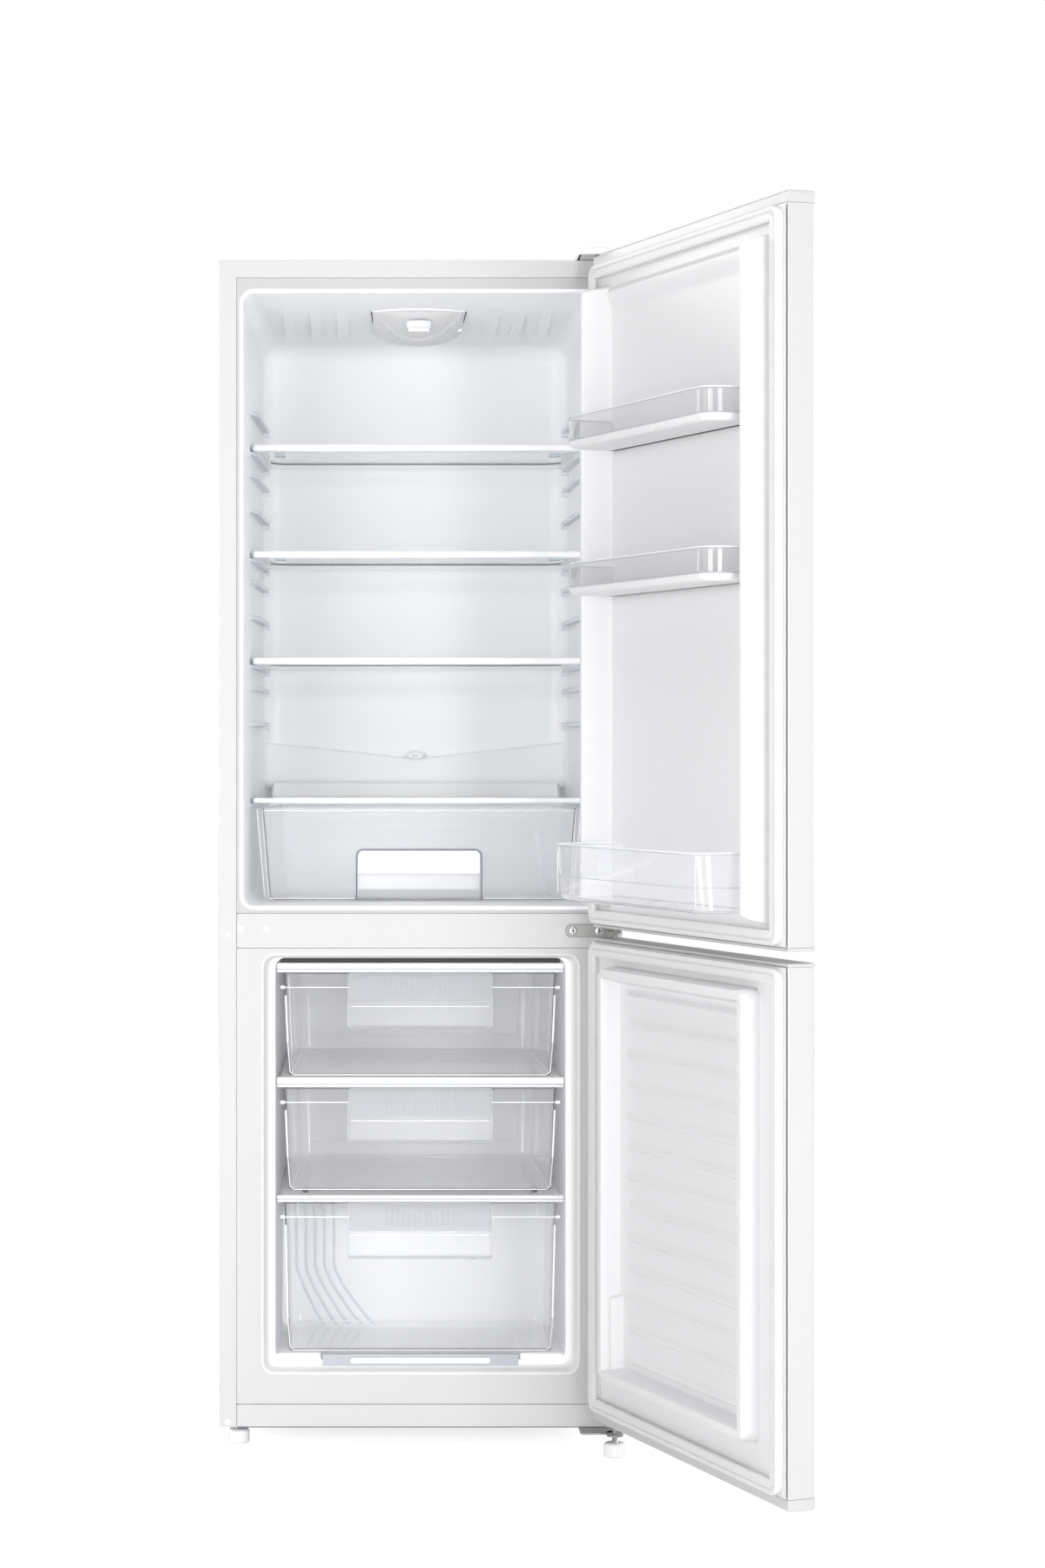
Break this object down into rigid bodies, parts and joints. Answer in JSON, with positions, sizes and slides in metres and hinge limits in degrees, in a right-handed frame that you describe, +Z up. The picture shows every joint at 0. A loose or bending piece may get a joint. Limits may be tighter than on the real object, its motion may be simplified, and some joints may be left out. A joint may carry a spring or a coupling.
{
  "type": "bottom freezer refrigerator",
  "caption": "White free-standing bottom freezer refrigerator with both doors open, glass shelves, a crisper, door racks, freezer drawers and adjustable feet.",
  "frame": {"origin": "on the floor, in the middle of the base of the box round the whole part with its doors open", "axes": "+Z up, +X towards the hinge side, +Y from the front towards the back of the cabinet"},
  "size_m": [0.7362, 1.0716, 1.63],
  "materials": {
    "enamel": "white gloss enamel with a fine orange peel",
    "liner_plastic": "white vacuum-formed plastic, satin gloss",
    "white_plastic": "white moulded plastic",
    "seal": "white magnetic gasket",
    "foam": "cream insulating foam, hidden",
    "zinc_steel": "grey plated steel",
    "galvanised": "galvanised sheet",
    "screw_steel": "bright plated steel",
    "clear_plastic": "clear moulded plastic with a cool tint",
    "frosted_plastic": "frosted clear plastic",
    "shelf_glass": "toughened glass with a pale green edge",
    "black_paint": "black satin paint",
    "black_plastic": "black moulded plastic",
    "bulb_glass": "opal glass"
  },
  "bodies": {
    "cabinet": {"outer_wrap": "enamel", "cabinet_foam": "foam", "fridge_liner": "liner_plastic", "freezer_liner": "liner_plastic", "mid_rail": "enamel", "kick_rail": "enamel", "back_panel": "galvanised", "base_pan": "galvanised", "compressor": "black_paint", "relay_box": "black_plastic", "condenser": "black_paint", "drip_tray": "black_plastic", "drain_tube": "white_plastic", "top_hinge_bracket": "zinc_steel", "top_hinge_cover": "white_plastic", "mid_hinge_bracket": "zinc_steel", "mid_hinge_screw_1": "screw_steel", "mid_hinge_screw_2": "screw_steel", "bottom_hinge_bracket": "zinc_steel", "lamp_housing": "white_plastic", "lamp_lens": "frosted_plastic", "lamp_bulb": "bulb_glass", "evaporator_shelf_1": "white_plastic", "evaporator_shelf_2": "white_plastic", "evaporator_shelf_3": "white_plastic"},
    "upper_door": {"upper_door_skin": "enamel", "upper_door_top_cap": "white_plastic", "upper_door_bottom_cap": "white_plastic", "upper_door_foam": "foam", "upper_door_liner": "liner_plastic", "upper_door_gasket": "seal"},
    "lower_door": {"lower_door_skin": "enamel", "lower_door_top_cap": "white_plastic", "lower_door_bottom_cap": "white_plastic", "lower_door_foam": "foam", "lower_door_liner": "liner_plastic", "lower_door_gasket": "seal"},
    "shelf_1": {"shelf_1_glass": "shelf_glass", "shelf_1_frame": "white_plastic"},
    "shelf_2": {"shelf_2_glass": "shelf_glass", "shelf_2_frame": "white_plastic"},
    "shelf_3": {"shelf_3_glass": "shelf_glass", "shelf_3_frame": "white_plastic"},
    "crisper_cover": {"crisper_cover_glass": "shelf_glass", "crisper_cover_frame": "white_plastic"},
    "crisper": {"crisper_bin": "clear_plastic", "crisper_handle": "white_plastic"},
    "drawer_1": {"freezer_drawer_1": "clear_plastic"},
    "drawer_2": {"freezer_drawer_2": "clear_plastic"},
    "drawer_3": {"freezer_drawer_3": "clear_plastic"},
    "upper_rack": {"upper_rack_band": "clear_plastic", "upper_rack_tray": "white_plastic"},
    "middle_rack": {"middle_rack_band": "clear_plastic", "middle_rack_tray": "white_plastic"},
    "bottle_rack": {"bottle_rack": "clear_plastic"},
    "divider": {"bottle_divider": "clear_plastic"},
    "dial": {"thermostat_dial": "white_plastic"},
    "switch": {"door_switch_button": "white_plastic"},
    "left_foot": {"foot_left": "white_plastic"},
    "right_foot": {"foot_right": "white_plastic"}
  },
  "joints": [
    {"name": "upper_door_hinge", "type": "hinge", "parent": "cabinet", "child": "upper_door", "pos_m": [0.16854, -0.02447, 1.166], "axis": [0, 0, 1], "range_deg": [-110.6, 24.4]},
    {"name": "lower_door_hinge", "type": "hinge", "parent": "cabinet", "child": "lower_door", "pos_m": [0.16854, -0.02447, 0.374], "axis": [0, 0, 1], "range_deg": [-110.6, 24.4]},
    {"name": "shelf_1_slide", "type": "slide", "parent": "cabinet", "child": "shelf_1", "axis": [0, -1, 0], "range_m": [0, 0.16]},
    {"name": "shelf_2_slide", "type": "slide", "parent": "cabinet", "child": "shelf_2", "axis": [0, -1, 0], "range_m": [0, 0.16]},
    {"name": "shelf_3_slide", "type": "slide", "parent": "cabinet", "child": "shelf_3", "axis": [0, -1, 0], "range_m": [0, 0.16]},
    {"name": "crisper_cover_slide", "type": "slide", "parent": "cabinet", "child": "crisper_cover", "axis": [0, -1, 0], "range_m": [0, 0.16]},
    {"name": "crisper_slide", "type": "slide", "parent": "cabinet", "child": "crisper", "axis": [0, -1, 0], "range_m": [0, 0.155]},
    {"name": "drawer_1_slide", "type": "slide", "parent": "cabinet", "child": "drawer_1", "axis": [0, -1, 0], "range_m": [0, 0.3]},
    {"name": "drawer_2_slide", "type": "slide", "parent": "cabinet", "child": "drawer_2", "axis": [0, -1, 0], "range_m": [0, 0.3]},
    {"name": "drawer_3_slide", "type": "slide", "parent": "cabinet", "child": "drawer_3", "axis": [0, -1, 0], "range_m": [0, 0.17]},
    {"name": "upper_rack_lift", "type": "slide", "parent": "upper_door", "child": "upper_rack", "axis": [0, 0, 1], "range_m": [0, 0.035]},
    {"name": "middle_rack_lift", "type": "slide", "parent": "upper_door", "child": "middle_rack", "axis": [0, 0, 1], "range_m": [0, 0.035]},
    {"name": "bottle_rack_lift", "type": "slide", "parent": "upper_door", "child": "bottle_rack", "axis": [0, 0, 1], "range_m": [0, 0.035]},
    {"name": "divider_slide", "type": "slide", "parent": "bottle_rack", "child": "divider", "axis": [-0.3518, 0.9361, 0], "range_m": [-0.255, 0.095]},
    {"name": "thermostat_turn", "type": "hinge", "parent": "cabinet", "child": "dial", "pos_m": [-0.09311, 0.16203, 1.545], "axis": [0, 0, 1], "range_deg": [0, 270]},
    {"name": "door_switch_press", "type": "slide", "parent": "cabinet", "child": "switch", "axis": [1, 0, 0], "range_m": [0, 0.004]},
    {"name": "left_foot_turn", "type": "hinge", "parent": "cabinet", "child": "left_foot", "pos_m": [-0.34311, 0.06403, 0.01], "axis": [0, 0, 1], "range_deg": [-180, 180]},
    {"name": "right_foot_turn", "type": "hinge", "parent": "cabinet", "child": "right_foot", "pos_m": [0.16854, -0.02447, 0.01], "axis": [0, 0, 1], "range_deg": [-180, 180]}
  ]
}
